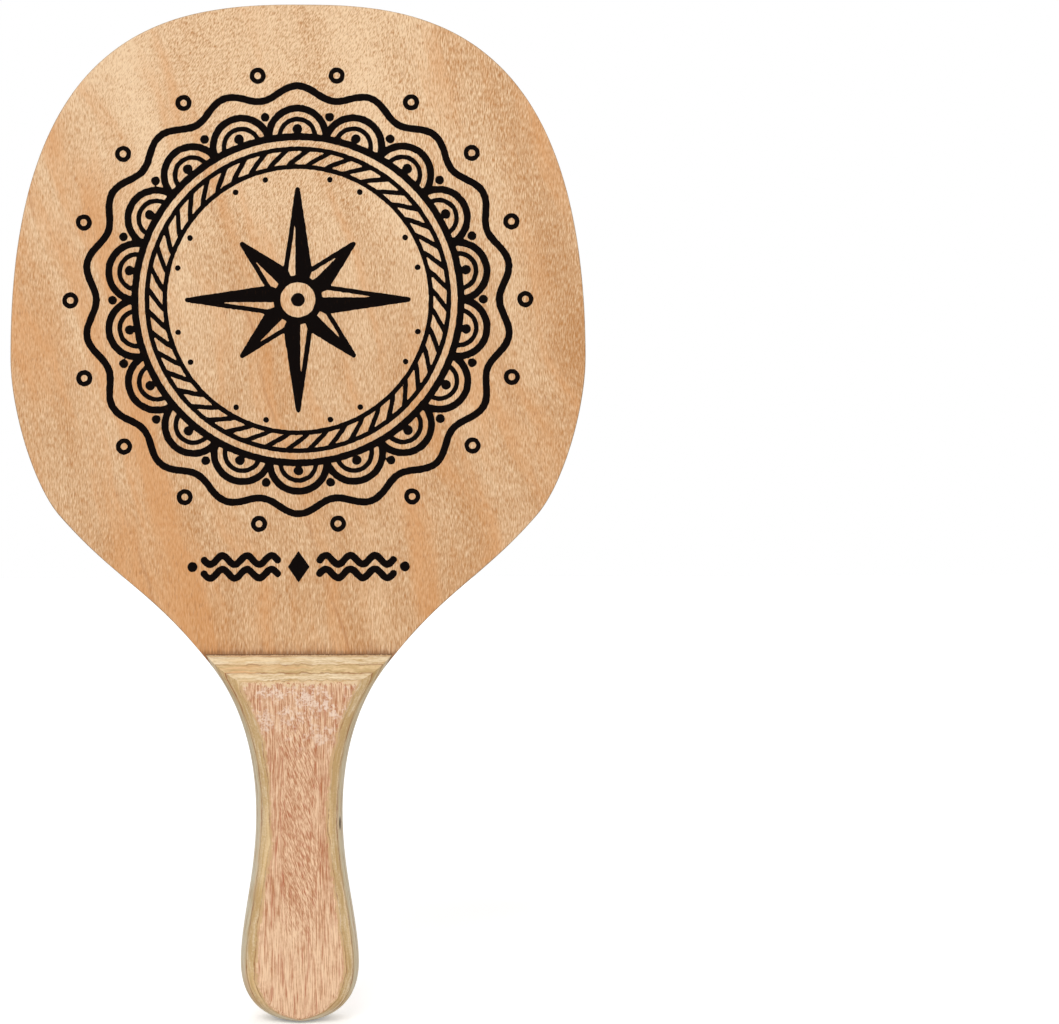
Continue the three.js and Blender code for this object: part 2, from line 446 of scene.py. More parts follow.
def colour(red, green, blue):
    """A colour as a screen shows it, from 0 to 255."""
    def linear(value):
        value /= 255
        return value / 12.92 if value <= 0.04045 else ((value + 0.055) / 1.055) ** 2.4
    return (linear(red), linear(green), linear(blue), 1.0)


class Graph:
    """The nodes of a material or a world."""

    def __init__(self, owner):
        owner.use_nodes = True
        self.tree = owner.node_tree

    def node(self, kind, *values):
        """A new node, with values or sockets put into its first inputs."""
        node = self.tree.nodes.new("ShaderNode" + kind)
        for value, socket in zip(values, node.inputs):
            self.put(value, socket)
        return node

    def put(self, value, socket):
        if isinstance(value, bpy.types.NodeSocket):
            self.tree.links.new(value, socket)
        else:
            socket.default_value = value

    def math(self, operation, first, second=0.0):
        node = self.node("Math", first, second)
        node.operation = operation
        return node.outputs[0]

    def total(self, *terms):
        """The sum of a start and (socket, weight) pairs."""
        result = terms[0]
        for value, weight in terms[1:]:
            result = self.math("ADD", result, self.math("MULTIPLY", value, weight))
        return result

    def product(self, first, second):
        return self.math("MULTIPLY", first, second)

    def blend(self, share, first, second):
        """Between two numbers."""
        return self.math("ADD", first, self.product(share, second - first))

    def crossfade(self, share, first, second):
        """From one noise to another, with the same contrast all the way."""
        left = self.math("SQRT", self.math("SUBTRACT", 1.0, share))
        return self.math("ADD", self.product(left, first), self.product(self.math("SQRT", share), second))

    def vector(self, operation, vector, constant):
        node = self.node("VectorMath", vector, constant)
        node.operation = operation
        return node.outputs[0]

    def split(self, vector):
        return self.node("SeparateXYZ", vector).outputs

    def joined(self, x, y, z):
        return self.node("CombineXYZ", x, y, z).outputs[0]

    def ramp(self, value, start, full, base=0.0):
        """Runs smoothly from 0 at start to 1 at full, both measured from a base. start may be the larger."""
        node = self.node("MapRange", value, base + start, base + full)
        node.interpolation_type = "SMOOTHSTEP"
        return node.outputs["Result"]

    def band(self, value, centre, start, full):
        """A ramp by the distance from a centre."""
        return self.ramp(self.math("ABSOLUTE", self.math("SUBTRACT", value, centre)), start, full)

    def mix(self, share, first, second):
        """Between two colours."""
        node = self.node("Mix", share)
        node.data_type = "RGBA"
        self.put(first, node.inputs[6])
        self.put(second, node.inputs[7])
        return node.outputs[2]

    def painted(self, under, over, share, strength):
        """A colour with another one laid over it."""
        return self.mix(self.product(share, strength), under, over)

    def fill(self, node, values):
        """Puts each value or socket into the node's input of its name."""
        for name, value in values.items():
            self.put(value, node.inputs[name])


class Material(Graph):
    """A material's nodes. An offset gives a second piece of the same wood another pattern."""

    def __init__(self, name, offset=(0, 0, 0)):
        self.material = bpy.data.materials.new(name)
        super().__init__(self.material)
        self.shader = self.tree.nodes["Principled BSDF"]
        self.point = self.node("TexCoord").outputs["Object"]
        self.coords = self.vector("ADD", self.point, offset)

    def noise(self, kind, grain=None):
        """Noise about zero, mostly within a quarter of it. It may follow a grain's coordinates."""
        vector = self.coords if grain is None else grain
        if kind.pace:
            vector = self.vector("MULTIPLY", vector, kind.pace)
        node = self.node("TexNoise", vector)
        self.fill(node, {"Scale": kind.scale, "Detail": kind.detail, "Roughness": kind.roughness})
        return self.math("SUBTRACT", node.outputs["Fac"], 0.5)

    def level(self):
        """How far a point is through its ply, or round the ply's eased edge."""
        node = self.node("Attribute")
        node.attribute_name = "level"
        return node.outputs["Fac"]

    def distance(self, centre, radii):
        """How far a point is from a centre, as a share of the radius in each direction."""
        away = self.vector("DIVIDE", self.vector("SUBTRACT", self.point, centre), radii)
        node = self.node("VectorMath", away)
        node.operation = "LENGTH"
        return node.outputs["Value"]

    def surface(self, base, roughness, specular, relief, strength, depth):
        """The finished material. Its relief is a bump with a strength and a depth."""
        bump = self.node("Bump")
        self.fill(bump, {"Height": relief, "Strength": strength, "Distance": depth})
        self.fill(self.shader, {
            "Base Color": base,
            "Roughness": roughness,
            "Specular IOR Level": specular,
            "Normal": bump.outputs[0],
        })
        return self.material


# Every grain bends slowly, and quickly by a share of that
SLOW_BEND = Noise(14, 1)
QUICK_BEND = Noise(120, 1, pace=(1, 1, 0.5))
QUICK_BEND_SHARE = 0.07
# The tones at which a wood has its dark and its pale colour
TONES = (-0.1, 1.1)
WOOD_SPECULAR = 0.2


def grained(graph, grain):
    """Coordinates that follow a grain along Z."""
    x, y, z = graph.split(graph.coords)
    slow, quick = graph.noise(SLOW_BEND), graph.noise(QUICK_BEND)
    quick_wander = grain.wander * QUICK_BEND_SHARE
    across = graph.total(x, (slow, grain.wander), (quick, quick_wander), (z, grain.slope))
    return graph.vector("MULTIPLY", graph.joined(across, y, z), (1, 1, 1 / grain.stretch))


# The wood of the blade's faces

BLADE_DARK, BLADE_PALE = colour(188, 130, 75), colour(246, 213, 173)
BLADE_ORANGE = colour(221, 157, 99)
BLADE_PORE = colour(164, 106, 62)
BLADE_VEIN = colour(176, 116, 70)
BLADE_RIM_SHADE = colour(140, 124, 104)
BLADE_RELIEF = 0.12 * MM

# Short fibres lean over in the middle of the top and stand upright elsewhere. Near the grip they are long.
SHORT_GRAIN = Grain(6, 10 * MM)
LEANING_GRAIN = Grain(3.5, 10 * MM, -0.5)
LONG_GRAIN = Grain(9, 6 * MM)
# The fibres and the pores of each of these grains
BLADE_FIBRES = (Noise(2600, 2, 0.6), Noise(2800, 2, 0.6), Noise(2900, 2, 0.6))
BLADE_PORES = (Noise(2000, 1), Noise(2300, 1), Noise(2000, 1))
# Where the leaning and the long ones come in: distances from a middle, and heights above the widest place.
# Of each pair of sizes, here and below, the first is where a change starts and the second where it is full.
LEAN_X = -20 * MM
LEAN_WIDTHS = (70 * MM, 30 * MM)
LEAN_HEIGHTS = (30 * MM, 80 * MM)
LONG_HEIGHTS = (-60 * MM, -120 * MM)
# Where the fibres show most, and how much elsewhere and there
CRISP_X = 15 * MM
CRISP_WIDTHS = (100 * MM, 40 * MM)
CRISP_HEIGHTS = (10 * MM, 90 * MM)
CRISP_CONTRASTS = (0.85, 1.35)
BLADE_STREAK = Noise(420, 3, 0.65)
BLADE_MOTTLE = Noise(75)

# Broad stripes slant down to the right. For each: where it crosses the widest place, its half width, and how
# much paler and how much more orange it is. The paler ones fade out downwards.
STRIPES = (
    (-99 * MM, 24 * MM, -0.12, 0.09),
    (-66 * MM, 16 * MM, -0.1, 0.18),
    (-31 * MM, 13 * MM, 0.24, -0.08),
    (-12 * MM, 7 * MM, -0.06, 0.06),
    (49 * MM, 12 * MM, -0.04, -0.12),
    (57 * MM, 18 * MM, 0.26, -0.08),
    (108 * MM, 26 * MM, -0.24, 0.0),
)
STRIPE_GRAIN = Grain(8, 30 * MM, 0.3)
STRIPE_TONE = Noise(55, 3, 0.6)
STRIPE_WARMTH = Noise(80, 2, 0.6)
STRIPE_BEND = Noise(22)
STRIPE_WANDER = 12 * MM
STRIPE_FADE = 80 * MM
# Thin brown veins between them, as the places where they cross it
VEINS = (-84 * MM, -15 * MM, 76 * MM)
VEIN_HALF_WIDTH = 1.1 * MM
VEIN_GAPS = Noise(30)

# Stain and painted contact shade above the grip's end, in two coats. For each: how far its streaks reach up,
# how far above that end it starts and is full, its strength and its colour.
STAIN_AND_SHADE_COATS = (
    (14 * MM, 5 * MM, -1 * MM, 0.36, colour(150, 92, 52)),
    (4 * MM, 1.8 * MM, 0.0, 0.5, colour(112, 70, 40)),
)
STAIN_AND_SHADE_STREAKS = Noise(1900, 2, 0.6, (1, 1, 0.04))


def blade_grain(graph, x, rise):
    """The blade's fibres, pores and streaks."""
    short, leaning, long = (grained(graph, grain) for grain in (SHORT_GRAIN, LEANING_GRAIN, LONG_GRAIN))
    lean = graph.product(graph.band(x, LEAN_X, *LEAN_WIDTHS), graph.ramp(rise, *LEAN_HEIGHTS))
    low = graph.ramp(rise, *LONG_HEIGHTS)

    def changing(in_short, in_leaning, in_long):
        """A pattern that changes over from grain to grain."""
        above = graph.crossfade(lean, graph.noise(in_short, short), graph.noise(in_leaning, leaning))
        return graph.crossfade(low, above, graph.noise(in_long, long))

    crisp = graph.product(graph.ramp(rise, *CRISP_HEIGHTS), graph.band(x, CRISP_X, *CRISP_WIDTHS))
    fibre = graph.product(changing(*BLADE_FIBRES), graph.blend(crisp, *CRISP_CONTRASTS))
    return fibre, changing(*BLADE_PORES), graph.noise(BLADE_STREAK, long)


def blade_wood(name, offset):
    graph = Material(name, offset)
    x, _, z = graph.split(graph.point)
    rise = graph.math("SUBTRACT", z, CROWN_Z)
    fibre, pores, streak = blade_grain(graph, x, rise)
    slanted = grained(graph, STRIPE_GRAIN)
    stripe, mottle = graph.noise(STRIPE_TONE, slanted), graph.noise(BLADE_MOTTLE)
    # Painted light: the rise term paints the blade paler towards its top
    tone = graph.total(
        0.53, (rise, 1.1), (x, -0.4), (stripe, 0.6), (mottle, 0.25), (streak, 0.25), (fibre, 2.4),
    )
    warm = graph.total(graph.noise(STRIPE_WARMTH, slanted), (rise, -0.4))
    lane = graph.total(x, (rise, STRIPE_GRAIN.slope), (graph.noise(STRIPE_BEND), STRIPE_WANDER))
    upper = graph.ramp(rise, 0.0, STRIPE_FADE)
    for centre, half_width, paler, warmer in STRIPES:
        within = graph.band(lane, centre, half_width, 0.0)
        if paler > 0:
            within = graph.product(within, upper)
        tone = graph.total(tone, (within, paler))
        warm = graph.total(warm, (within, warmer))
    wood = graph.mix(graph.ramp(tone, *TONES), BLADE_DARK, BLADE_PALE)
    wood = graph.painted(wood, BLADE_ORANGE, graph.ramp(warm, -0.04, 0.26), 0.6)
    wood = graph.painted(wood, BLADE_PORE, graph.ramp(pores, 0.07, 0.22), 0.4)
    broken = graph.ramp(graph.noise(VEIN_GAPS), -0.04, 0.14)
    for centre in VEINS:
        within = graph.product(graph.band(lane, centre, VEIN_HALF_WIDTH, 0.0), broken)
        wood = graph.painted(wood, BLADE_VEIN, within, 0.45)
    # Stain and painted contact shade darken the blade just above the grip's end
    streaks = graph.noise(STAIN_AND_SHADE_STREAKS)
    for reach, start, full, strength, brown in STAIN_AND_SHADE_COATS:
        stain_and_shade = graph.ramp(graph.total(z, (streaks, reach)), start, full, LEDGE_Z)
        wood = graph.painted(wood, brown, stain_and_shade, strength)
    # Painted shade: the eased edge, which turns away, is painted greyer and darker
    wood = graph.painted(wood, BLADE_RIM_SHADE, graph.ramp(graph.level(), 1.0, 0.5), 0.55)
    relief = graph.total(0.0, (fibre, 1.0), (graph.ramp(pores, 0.08, 0.24), -0.6))
    roughness = graph.total(0.6, (fibre, 0.3), (streak, 0.2))
    return graph.surface(wood, roughness, WOOD_SPECULAR, relief, 0.25, BLADE_RELIEF)


# The wood of the grips' flat faces

GRIP_DARK, GRIP_PALE = colour(182, 118, 78), colour(247, 211, 174)
GRIP_PORE = colour(182, 100, 68)
GRIP_CHALK = colour(246, 222, 202)
GRIP_WORN_END = colour(233, 203, 160)
GRIP_WORN_SIDE = colour(212, 176, 128)
GRIP_RELIEF = 0.15 * MM

# The fibres run straight, and at a slant down the middle
STRAIGHT_GRAIN = Grain(22, 4 * MM)
SLANTED_GRAIN = Grain(7, 4 * MM, 0.34)
# The fibres and the pores of each of these grains
GRIP_FIBRES = (Noise(2900, 2, 0.6), Noise(2700, 2, 0.6))
GRIP_PORES = (Noise(2100, 1), Noise(1900, 1))
GRIP_STREAK = Noise(800, 2, 0.6)
GRIP_GRIT = Noise(900, 2, 0.7, (1, 1, 0.6))
GRIP_BLOTCH = Noise(70, pace=(1, 1, 0.5))
# Where they slant: in a strip with wandering sides, by heights above the grip's end and above its middle
SLANT_EDGE = Noise(80)
SLANT_WANDER = 12 * MM
SLANT_WIDTHS = (8 * MM, 3 * MM)
SLANT_TOP = (-14 * MM, -34 * MM)
SLANT_FOOT = (-45 * MM, -12 * MM)
# The bulb is paler, by heights above the grip's middle
BULB_PALE = (-12 * MM, -58 * MM)
# Chalky sanding marks near the top, by heights above the grip's end
CHALK = Noise(130, 3, 0.7)
CHALK_SPREAD = 50 * MM
CHALK_TOP = (-42 * MM, -12 * MM)
DUST = Noise(1300, 2, 0.7)
# The veneer is sanded through raggedly at the flat face's end, by heights above that
END_RAGGEDNESS = 7 * MM
END_WORN = (-1 * MM, 0.6 * MM)


def grip_face_wood(name):
    graph = Material(name)
    x, _, z = graph.split(graph.point)
    straight, slanted = (grained(graph, grain) for grain in (STRAIGHT_GRAIN, SLANTED_GRAIN))
    side = graph.total(graph.math("ABSOLUTE", x), (graph.noise(SLANT_EDGE), SLANT_WANDER))
    slant = graph.product(graph.ramp(side, *SLANT_WIDTHS), graph.ramp(z, *SLANT_TOP, LEDGE_Z))
    slant = graph.product(slant, graph.ramp(z, *SLANT_FOOT))
    fibre, pores = (
        graph.crossfade(slant, graph.noise(in_straight, straight), graph.noise(in_slanted, slanted))
        for in_straight, in_slanted in (GRIP_FIBRES, GRIP_PORES)
    )
    streak = graph.noise(GRIP_STREAK, straight)
    grit, blotch = graph.noise(GRIP_GRIT), graph.noise(GRIP_BLOTCH)
    low = graph.ramp(z, *BULB_PALE)
    tone = graph.total(0.49, (streak, 0.7), (fibre, 2.7), (grit, 0.7), (blotch, 0.35), (low, 0.26))
    wood = graph.mix(graph.ramp(tone, *TONES), GRIP_DARK, GRIP_PALE)
    wood = graph.painted(wood, GRIP_PORE, graph.ramp(pores, 0.05, 0.2), 0.6)
    chalk, dust = graph.noise(CHALK), graph.noise(DUST)
    near_top = graph.ramp(graph.total(z, (chalk, CHALK_SPREAD)), *CHALK_TOP, LEDGE_Z)
    marks = graph.ramp(graph.total(0.0, (chalk, 1.3), (grit, 0.5), (dust, 0.9)), -0.02, 0.26)
    wood = graph.painted(wood, GRIP_CHALK, graph.product(marks, near_top), 0.8)
    ragged = graph.total(z, (grit, END_RAGGEDNESS), (chalk, END_RAGGEDNESS))
    wood = graph.painted(wood, GRIP_WORN_END, graph.ramp(ragged, *END_WORN, FACE_TOP_Z), 0.85)
    # It is thin along the sides too
    thinned = graph.total(graph.level(), (grit, 0.9), (chalk, 0.7))
    wood = graph.painted(wood, GRIP_WORN_SIDE, graph.ramp(thinned, 0.34, 0.12), 0.8)
    relief = graph.total(0.0, (fibre, 1.0), (graph.ramp(pores, 0.05, 0.2), -0.8))
    roughness = graph.total(0.7, (fibre, 0.3))
    return graph.surface(wood, roughness, WOOD_SPECULAR, relief, 0.4, GRIP_RELIEF)


# The plies' edges

# For each kind of ply: its dark and pale colour and its tinge
PALE_PLY = (colour(198, 162, 110), colour(253, 235, 202), colour(226, 188, 130))
TAN_PLY = (colour(186, 152, 98), colour(240, 212, 166), colour(218, 160, 108))
STAINED_AND_SHADED_PLY = (colour(176, 134, 88), colour(236, 204, 160), colour(206, 152, 104))
PLY_PAINTED_GREY = colour(218, 210, 188)
PLY_BUTT_PAINTED_LIGHT = colour(244, 234, 208)
PLY_GLUE = colour(146, 88, 50)
PLY_STAIN_AND_SHADE = colour(92, 56, 34)
PLY_RELIEF = 0.15 * MM

# Lines run along the seams, as if each ply were equally thick
PLY_THICKNESS = 2.5 * MM
PLY_BEND = Noise(90)
PLY_WANDER = 1.2 * MM
PLY_STRETCH = 22
PLY_FIBRE = Noise(2600, 3, 0.65)
PLY_LINES = Noise(700, 1)
PLY_CLOUD = Noise(45)
PLY_SPECK = Noise(1500, pace=(0.5, 1, 1))
PLY_TINGE = Noise(30, 1)
# Painted light and shade: the outermost parts, facing sideways and down, are painted a pale grey, more on
# the grip than on the blade
PAINTED_GREY_STRENGTHS = (0.75, 0.3)
PAINTED_GREY_FADE = 30 * MM
GLUE_EDGE = Noise(700, 3)
GLUE_PATCHES = Noise(110)
STAIN_AND_SHADE_EDGE = Noise(1500)
# A small knot on the grip's right side
KNOT = (15.2 * MM, -7.6 * MM, 5.6 * MM)
KNOT_RADII = (0.6 * MM, 1.2 * MM, 3.5 * MM)
KNOT_BROWN = colour(62, 38, 24)


def ply_wood(name, colours, stained_and_shaded=False):
    """A ply seen on its edge. It may be stained, and painted with contact shade, where it meets the blade.
    """
    dark, pale, tinge = colours
    graph = Material(name)
    x, _, z = graph.split(graph.point)
    level = graph.level()
    across = graph.total(0.0, (level, PLY_THICKNESS), (graph.noise(PLY_BEND), PLY_WANDER))
    along = graph.joined(across, graph.product(x, 1 / PLY_STRETCH), graph.product(z, 1 / PLY_STRETCH))
    fibre, lines = graph.noise(PLY_FIBRE, along), graph.noise(PLY_LINES, along)
    cloud, speck = graph.noise(PLY_CLOUD), graph.noise(PLY_SPECK)
    # Painted shade: the rounded sides are painted darker than the sloped end
    normal = graph.split(graph.node("NewGeometry").outputs["Normal"])
    sideways = graph.math("ABSOLUTE", normal[0])
    down = graph.product(normal[2], -1.0)
    shade = graph.ramp(sideways, 0.1, 0.5)
    tone = graph.total(0.54, (fibre, 1.8), (lines, 1.2), (cloud, 0.8), (speck, 0.7), (shade, -0.34))
    wood = graph.mix(graph.ramp(tone, *TONES), dark, pale)
    tinged = graph.total(0.0, (lines, 1.0), (graph.noise(PLY_TINGE), 1.0))
    wood = graph.painted(wood, tinge, graph.ramp(tinged, 0.0, 0.28), 0.6)
    # Painted light and shade: wear here is the strength of the painted pale grey on the outermost parts, by
    # height
    wear = graph.blend(graph.ramp(z, 0.0, PAINTED_GREY_FADE, LEDGE_Z), *PAINTED_GREY_STRENGTHS)
    painted_grey = graph.product(graph.ramp(graph.math("MAXIMUM", sideways, down), 0.62, 0.95), wear)
    wood = graph.painted(wood, PLY_PAINTED_GREY, painted_grey, graph.total(1.0, (fibre, 3.3)))
    # Painted light: the downward-facing butt is painted paler
    wood = graph.painted(wood, PLY_BUTT_PAINTED_LIGHT, graph.ramp(down, 0.4, 0.9), 0.6)
    # Glue in the seams, patchy and uneven
    ragged = graph.total(level, (graph.noise(GLUE_EDGE), 0.25))
    ends = graph.math("MINIMUM", ragged, graph.math("SUBTRACT", 1.0, ragged))
    patchy = graph.ramp(graph.noise(GLUE_PATCHES), -0.08, 0.14)
    strength = graph.total(0.26, (patchy, 0.5), (shade, 0.14), (painted_grey, -0.25))
    glue = graph.product(graph.ramp(ends, 0.15, 0.0), strength)
    wood = graph.mix(glue, wood, PLY_GLUE)
    # Stain and painted contact shade where the ply meets the blade
    if stained_and_shaded:
        stain_and_shade = graph.total(level, (graph.noise(STAIN_AND_SHADE_EDGE), 0.9))
        wood = graph.painted(wood, PLY_STAIN_AND_SHADE, graph.ramp(stain_and_shade, 0.75, 0.2), 0.85)
    wood = graph.painted(wood, KNOT_BROWN, graph.ramp(graph.distance(KNOT, KNOT_RADII), 1.0, 0.6), 0.92)
    relief = graph.total(0.0, (fibre, 0.8), (glue, -0.3))
    roughness = graph.total(0.72, (fibre, 0.25))
    return graph.surface(wood, roughness, WOOD_SPECULAR, relief, 0.4, PLY_RELIEF)


# The ink

INK_BLACK, INK_WORN = colour(9, 4, 3), colour(92, 62, 40)
INK_GRAIN = Grain(5, 10 * MM)
INK_FIBRE = Noise(1700, 2, 0.6)
INK_PATCHES = Noise(500)
INK_SPECULAR = 0.04
INK_RELIEF = 0.08 * MM


def ink(name):
    graph = Material(name)
    fibre = graph.noise(INK_FIBRE, grained(graph, INK_GRAIN))
    thin = graph.total(0.0, (fibre, 1.0), (graph.noise(INK_PATCHES), 0.5))
    black = graph.painted(INK_BLACK, INK_WORN, graph.ramp(thin, 0.1, 0.3), 0.1)
    roughness = graph.total(0.7, (fibre, 0.3))
    return graph.surface(black, roughness, INK_SPECULAR, fibre, 0.2, INK_RELIEF)


# All plies

BACK_OFFSET = (0.31, 0, 0.17)
pale_ply = (ply_wood("pale_ply_wood", PALE_PLY), "pale_ply")
tan_ply = (ply_wood("tan_ply_wood", TAN_PLY), "tan_ply")
stained_and_shaded_ply = (ply_wood("stained_and_shaded_ply_wood", STAINED_AND_SHADED_PLY, stained_and_shaded=True), "tan_ply")
grip_face = (grip_face_wood("grip_face_wood_dressed"), "grip_face_wood")

front_outer, front_inner, back_inner, back_outer = (blade_seam(*seam) for seam in BLADE_SEAMS)
blade_veneer("blade_front_veneer", FRONT, front_outer, blade_wood("blade_front_wood", (0, 0, 0)))
blade_veneer("blade_back_veneer", BACK, back_outer, blade_wood("blade_back_wood", BACK_OFFSET))
blade_ply("blade_front_crossband", front_outer, front_inner, *pale_ply)
blade_ply("blade_core", front_inner, back_inner, *tan_ply)
blade_ply("blade_back_crossband", back_inner, back_outer, *pale_ply)

GRIP_FINISHES = (stained_and_shaded_ply, pale_ply, tan_ply, pale_ply, grip_face)
grip(FRONT, "front", GRIP_FINISHES)
grip(BACK, "back", GRIP_FINISHES)


# The printed design: a field of distances in millimetres about the print's centre, less than zero in the ink

PRINT_HEIGHT_SHARE = 0.709
PRINT_Z = BUTT_Z + PRINT_HEIGHT_SHARE * LENGTH
PRINT_REACH = 96
PRINT_FOOT = 112
CELL = 0.4
MARGIN = 2
FAR = 9.0
TINY = 1e-9
HEAVY, FINE = 2.7, 1.8
CENTRE = np.zeros(2)

# The compass rose: how far its long and short points and its waist reach, and its hub
ROSE_POINTS = 8
ROSE_LONG, ROSE_SHORT, ROSE_WAIST = 42, 30, 12
HUB_GAP, HUB_RADIUS, HUB_DOT = 9, 8, 2.6
# Dots round it, with so many spaces to each point
DIAL_RADIUS, DIAL_DOT, DIAL_SPACES = 47.2, 1.1, 3
ROPE_RADIUS, ROPE_HALF_WIDTH, ROPE_STRANDS = 54, 3.4, 44
STRAND_LEAN_SHARE, STRAND_SWAY_SHARE = 0.55, 0.3
# Arches on a ring, each with a smaller arch and a dot inside, as shares of its radius
ARCH_RING_RADIUS, ARCHES = 62, 18
ARCH_DEGREES, INNER_ARCH_DEGREES = 94, 92
INNER_ARCH_SHARE, ARCH_DOT_RISE_SHARE, ARCH_DOT_SHARE = 0.62, 0.27, 0.17
WAVE_RADIUS, WAVE_SWING, WAVE_STEP_DEGREES = 79, 2.4, 1.5
# Between the arches, a dot inside the wave and a small ring outside it
GAP_DOT_RADIUS, GAP_DOT = 70.5, 1.7
GAP_RING_RADIUS, GAP_RING = 86.5, 2.2
ARC_STEP_DEGREES = 6

# The small ornament below: a diamond between two pairs of rippled lines, each pair with a dot at its end
ORNAMENT_Z = -101.5
DIAMOND_HALF_WIDTH, DIAMOND_HALF_HEIGHT = 4.2, 6
RIPPLE_OFFSET, RIPPLE_SWING, RIPPLES = 2.6, 1.7, 3
RIPPLE_START, RIPPLE_END, RIPPLE_POINTS = 8, 36, 60
END_DOT_X, END_DOT = 40.4, 1.9

# The ink's rough edge, from noise that is smoothed so many times along each axis
INK_SEED = 4
INK_SMOOTHING = ((0, 4), (1, 1))
INK_ROUGHNESS = 0.05

columns = np.arange(-PRINT_REACH, PRINT_REACH + CELL, CELL)
rows = np.arange(-PRINT_FOOT, PRINT_REACH + CELL, CELL)
field = np.full((len(rows), len(columns)), FAR)


def polar(radius, degrees):
    """A point about the print's centre. 0 degrees is up, and they run clockwise."""
    angle = math.radians(degrees)
    return np.array((radius * math.sin(angle), radius * math.cos(angle)))


def window(points, reach):
    """The part of the field within a reach of some points, with the x and z of its cells."""
    low, high = np.min(points, axis=0) - reach - MARGIN, np.max(points, axis=0) + reach + MARGIN
    across = slice(*np.searchsorted(columns, (low[0], high[0])))
    down = slice(*np.searchsorted(rows, (low[1], high[1])))
    x, z = np.meshgrid(columns[across], rows[down])
    return (down, across), x, z


def add(area, distance):
    field[area] = np.minimum(field[area], distance)


def segment_distance(x, z, start, end):
    along = end - start
    share = ((x - start[0]) * along[0] + (z - start[1]) * along[1]) / max(along @ along, TINY)
    share = np.clip(share, 0, 1)
    return np.hypot(x - start[0] - share * along[0], z - start[1] - share * along[1])


def stroke(points, width, closed=False):
    points = [np.asarray(p, float) for p in points]
    if closed:
        points.append(points[0])
    for start, end in zip(points, points[1:]):
        area, x, z = window((start, end), width / 2)
        add(area, segment_distance(x, z, start, end) - width / 2)


def solid(points):
    points = [np.asarray(p, float) for p in points]
    area, x, z = window(points, 0)
    edge = np.full(x.shape, FAR)
    inside = np.zeros(x.shape, bool)
    for start, end in zip(points, points[1:] + points[:1]):
        edge = np.minimum(edge, segment_distance(x, z, start, end))
        crosses = (start[1] > z) != (end[1] > z)
        rise = end[1] - start[1] or TINY
        inside ^= crosses & (x < start[0] + (z - start[1]) * (end[0] - start[0]) / rise)
    add(area, np.where(inside, -edge, edge))


def disc(centre, radius):
    area, x, z = window((centre,), radius)
    add(area, np.hypot(x - centre[0], z - centre[1]) - radius)


def ring(centre, radius, width):
    area, x, z = window((centre,), radius + width / 2)
    add(area, abs(np.hypot(x - centre[0], z - centre[1]) - radius) - width / 2)


def clear(centre, radius):
    area, x, z = window((centre,), radius)
    field[area] = np.maximum(field[area], radius - np.hypot(x - centre[0], z - centre[1]))


def arc(centre, radius, middle, half_turn, width):
    """An arc that runs to either side of the way that its middle faces."""
    steps = int(2 * half_turn / ARC_STEP_DEGREES)
    angles = np.linspace(middle - half_turn, middle + half_turn, steps + 1)
    stroke([centre + polar(radius, angle) for angle in angles], width)


def compass_rose():
    """Kite-shaped points, long and short in turn, each with one half filled in."""
    pitch = 360 / ROSE_POINTS
    for index in range(ROSE_POINTS):
        angle = pitch * index
        tip = polar(ROSE_SHORT if index % 2 else ROSE_LONG, angle)
        near, far = polar(ROSE_WAIST, angle - pitch / 2), polar(ROSE_WAIST, angle + pitch / 2)
        solid([CENTRE, tip, far])
        stroke([CENTRE, near, tip, CENTRE], FINE)
        stroke([tip, far], FINE)
    clear(CENTRE, HUB_GAP)
    ring(CENTRE, HUB_RADIUS, HEAVY)
    disc(CENTRE, HUB_DOT)


def dial():
    """A ring of dots, with gaps where the rose points."""
    for mark in range(ROSE_POINTS * DIAL_SPACES):
        if mark % DIAL_SPACES:
            disc(polar(DIAL_RADIUS, 360 / ROSE_POINTS / DIAL_SPACES * mark), DIAL_DOT)


def rope():
    """A ring of slanted strands between two lines."""
    pitch = 360 / ROPE_STRANDS
    lean, sway = pitch * STRAND_LEAN_SHARE, pitch * STRAND_SWAY_SHARE
    inner, outer = ROPE_RADIUS - ROPE_HALF_WIDTH, ROPE_RADIUS + ROPE_HALF_WIDTH
    for edge in (inner, outer):
        ring(CENTRE, edge, FINE)
    for strand in range(ROPE_STRANDS):
        angle = pitch * strand
        stroke([
            polar(inner, angle - lean),
            polar(ROPE_RADIUS - ROPE_HALF_WIDTH / 2, angle - sway),
            polar(ROPE_RADIUS + ROPE_HALF_WIDTH / 2, angle + sway),
            polar(outer, angle + lean),
        ], FINE)


def arches():
    arch = math.pi * ARCH_RING_RADIUS / ARCHES
    ring(CENTRE, ARCH_RING_RADIUS, HEAVY)
    for index in range(ARCHES):
        angle = 360 / ARCHES * index
        foot = polar(ARCH_RING_RADIUS, angle)
        arc(foot, arch, angle, ARCH_DEGREES, HEAVY)
        arc(foot, arch * INNER_ARCH_SHARE, angle, INNER_ARCH_DEGREES, FINE)
        disc(foot + polar(arch * ARCH_DOT_RISE_SHARE, angle), arch * ARCH_DOT_SHARE)


def border():
    """A wave that swings out over each arch, with dots and rings between the arches."""
    path = []
    for angle in np.arange(0, 360, WAVE_STEP_DEGREES):
        path.append(polar(WAVE_RADIUS + WAVE_SWING * math.cos(math.radians(angle * ARCHES)), angle))
    stroke(path, HEAVY, closed=True)
    for index in range(ARCHES):
        angle = 360 / ARCHES * (index + 0.5)
        disc(polar(GAP_DOT_RADIUS, angle), GAP_DOT)
        ring(polar(GAP_RING_RADIUS, angle), GAP_RING, FINE)


